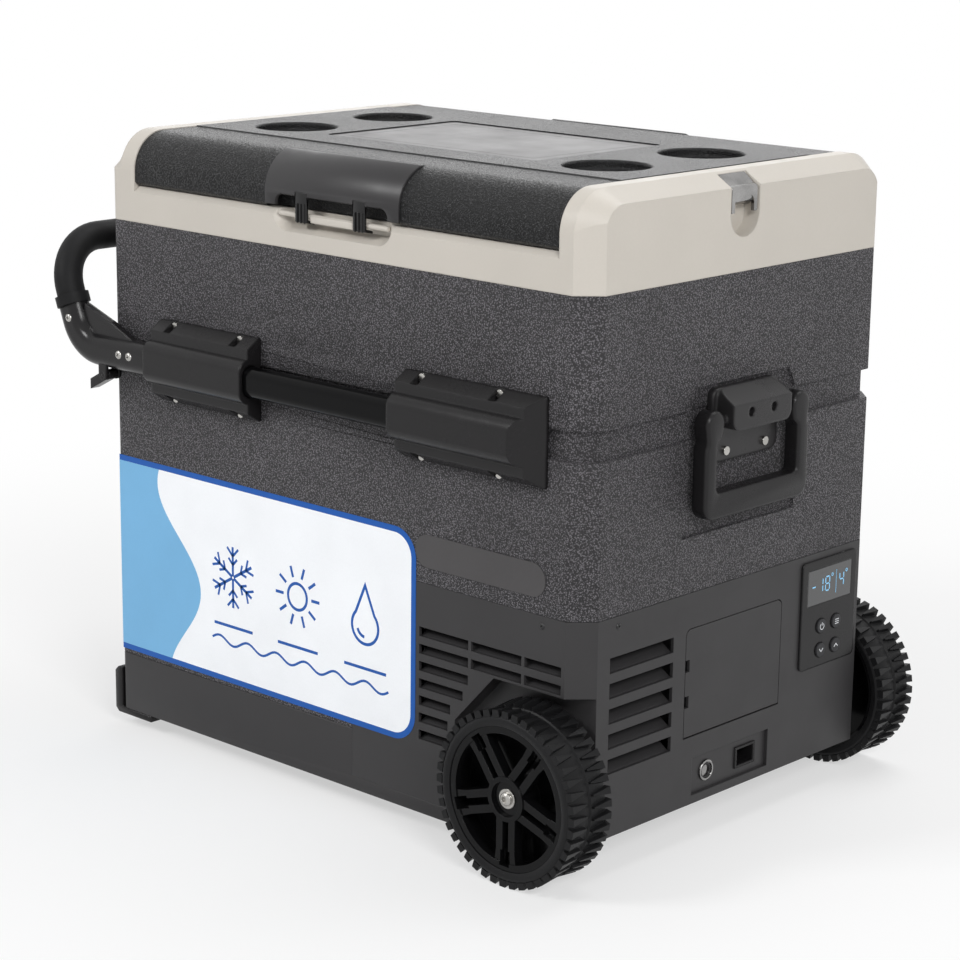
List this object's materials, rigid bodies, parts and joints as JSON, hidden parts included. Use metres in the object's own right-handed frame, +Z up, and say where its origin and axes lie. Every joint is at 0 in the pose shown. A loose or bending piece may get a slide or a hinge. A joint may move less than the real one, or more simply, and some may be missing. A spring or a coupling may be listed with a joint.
{
  "type": "compressor cooler fridge",
  "caption": "Wheeled two-compartment compressor cooler chest with a lid that opens on catch bars, a sliding pull handle, a drop handle and a vented machine housing",
  "frame": {"origin": "centre of the bounding box at floor level", "axes": "+X along the chest towards the wheel end, +Y towards the rear long side, +Z up"},
  "size_m": [0.6421, 0.447, 0.5375],
  "materials": {
    "textured_charcoal": "leather-grain textured",
    "smooth_charcoal": "satin",
    "black_bracket": "satin",
    "warm_grey": "satin",
    "lid_black": "leather-grain textured",
    "foam": "closed-cell",
    "liner_grey": "smooth",
    "aluminium_sheet": "plain",
    "steel": "zinc plated",
    "chrome_metal": "polished",
    "compressor_black": "gloss",
    "copper": "plain",
    "black_rubber": "matte",
    "wheel_rim": "satin gloss",
    "wheel_tyre": "satin",
    "display_glass": "gloss",
    "label_print": "printed",
    "badge_smooth": "smooth",
    "battery_case": "satin",
    "key_plastic": "satin"
  },
  "bodies": {
    "cabinet": {"outer_shell": "textured_charcoal", "foam_insulation": "foam", "liner_left": "liner_grey", "liner_right": "liner_grey", "evaporator_plates": "aluminium_sheet", "base_tray": "smooth_charcoal", "machine_housing": "smooth_charcoal", "battery_bay": "smooth_charcoal", "battery_pack": "battery_case", "socket_panel": "smooth_charcoal", "power_sockets": "black_bracket", "control_panel": "black_bracket", "control_display": "display_glass", "top_frame": "warm_grey", "catch_bars": "warm_grey", "bottle_opener": "chrome_metal", "bracket_front_left": "black_bracket", "bracket_rear_left": "black_bracket", "bracket_front_right": "black_bracket", "bracket_rear_right": "black_bracket", "case_screws": "steel", "handle_plate": "black_bracket", "label_sheet": "label_print", "badge_strip": "badge_smooth", "corner_feet": "black_bracket", "rubber_feet": "black_rubber", "mounting_deck": "steel", "compressor": "compressor_black", "compressor_mounts": "black_rubber", "condenser_tubes": "copper", "condenser_fins": "aluminium_sheet", "fan_frame": "black_bracket", "refrigerant_pipes": "copper", "power_module": "aluminium_sheet", "axle": "steel"},
    "lid": {"lid_shell": "lid_black", "lid_panel": "badge_smooth", "lid_pan": "liner_grey", "lid_insulation": "foam", "lid_seal": "black_rubber", "latch_pins": "steel"},
    "front_latch": {"latch_front": "smooth_charcoal"},
    "rear_latch": {"latch_rear": "smooth_charcoal"},
    "pull_handle": {"pull_rods": "black_bracket", "handle_elbows": "black_bracket", "grip": "black_rubber"},
    "front_lever": {"release_lever_front": "black_bracket"},
    "rear_lever": {"release_lever_rear": "black_bracket"},
    "front_wheel": {"rim_front": "wheel_rim", "tyre_front": "wheel_tyre"},
    "rear_wheel": {"rim_rear": "wheel_rim", "tyre_rear": "wheel_tyre"},
    "side_handle": {"drop_handle": "black_bracket"},
    "flap": {"battery_door": "smooth_charcoal"},
    "rotor": {"fan_rotor": "black_bracket"},
    "power_key": {"button_power": "key_plastic"},
    "mode_key": {"button_mode": "key_plastic"},
    "down_key": {"button_down": "key_plastic"},
    "up_key": {"button_up": "key_plastic"}
  },
  "joints": [
    {"name": "lid_hinge", "type": "hinge", "parent": "cabinet", "child": "lid", "pos_m": [0.02357, 0.184, 0.4875], "axis": [-1, 0, 0], "range_deg": [0, 95]},
    {"name": "front_latch_hinge", "type": "hinge", "parent": "lid", "child": "front_latch", "pos_m": [0.02357, -0.16278, 0.53313], "axis": [-1, 0, 0], "range_deg": [0, 30], "stiffness_Nm_per_rad": 0.08},
    {"name": "rear_latch_hinge", "type": "hinge", "parent": "lid", "child": "rear_latch", "pos_m": [0.02357, 0.16278, 0.53313], "axis": [1, 0, 0], "range_deg": [0, 30], "stiffness_Nm_per_rad": 0.08},
    {"name": "pull_handle_slide", "type": "slide", "parent": "cabinet", "child": "pull_handle", "axis": [-1, 0, 0], "range_m": [0, 0.27]},
    {"name": "front_lever_hinge", "type": "hinge", "parent": "pull_handle", "child": "front_lever", "pos_m": [-0.24043, -0.1995, 0.326], "axis": [0, 1, 0], "range_deg": [0, 20], "stiffness_Nm_per_rad": 0.03},
    {"name": "rear_lever_hinge", "type": "hinge", "parent": "pull_handle", "child": "rear_lever", "pos_m": [-0.24043, 0.1995, 0.326], "axis": [0, 1, 0], "range_deg": [0, 20], "stiffness_Nm_per_rad": 0.03},
    {"name": "front_wheel_spin", "type": "hinge", "parent": "cabinet", "child": "front_wheel", "pos_m": [0.25007, -0.2025, 0.071], "axis": [0, 1, 0], "continuous": true},
    {"name": "rear_wheel_spin", "type": "hinge", "parent": "cabinet", "child": "rear_wheel", "pos_m": [0.25007, 0.2025, 0.071], "axis": [0, 1, 0], "continuous": true},
    {"name": "side_handle_hinge", "type": "hinge", "parent": "cabinet", "child": "side_handle", "pos_m": [0.30557, 0, 0.349], "axis": [0, -1, 0], "range_deg": [0, 90]},
    {"name": "battery_door_hinge", "type": "hinge", "parent": "cabinet", "child": "flap", "pos_m": [0.29407, 0, 0.0925], "axis": [0, 1, 0], "range_deg": [0, 90]},
    {"name": "fan_spin", "type": "hinge", "parent": "cabinet", "child": "rotor", "pos_m": [0.14657, -0.1205, 0.098], "axis": [0, 1, 0], "continuous": true},
    {"name": "power_press", "type": "slide", "parent": "cabinet", "child": "power_key", "axis": [-1, 0, 0], "range_m": [0, 0.001], "stiffness_N_per_m": 400},
    {"name": "mode_press", "type": "slide", "parent": "cabinet", "child": "mode_key", "axis": [-1, 0, 0], "range_m": [0, 0.001], "stiffness_N_per_m": 400},
    {"name": "down_press", "type": "slide", "parent": "cabinet", "child": "down_key", "axis": [-1, 0, 0], "range_m": [0, 0.001], "stiffness_N_per_m": 400},
    {"name": "up_press", "type": "slide", "parent": "cabinet", "child": "up_key", "axis": [-1, 0, 0], "range_m": [0, 0.001], "stiffness_N_per_m": 400}
  ]
}
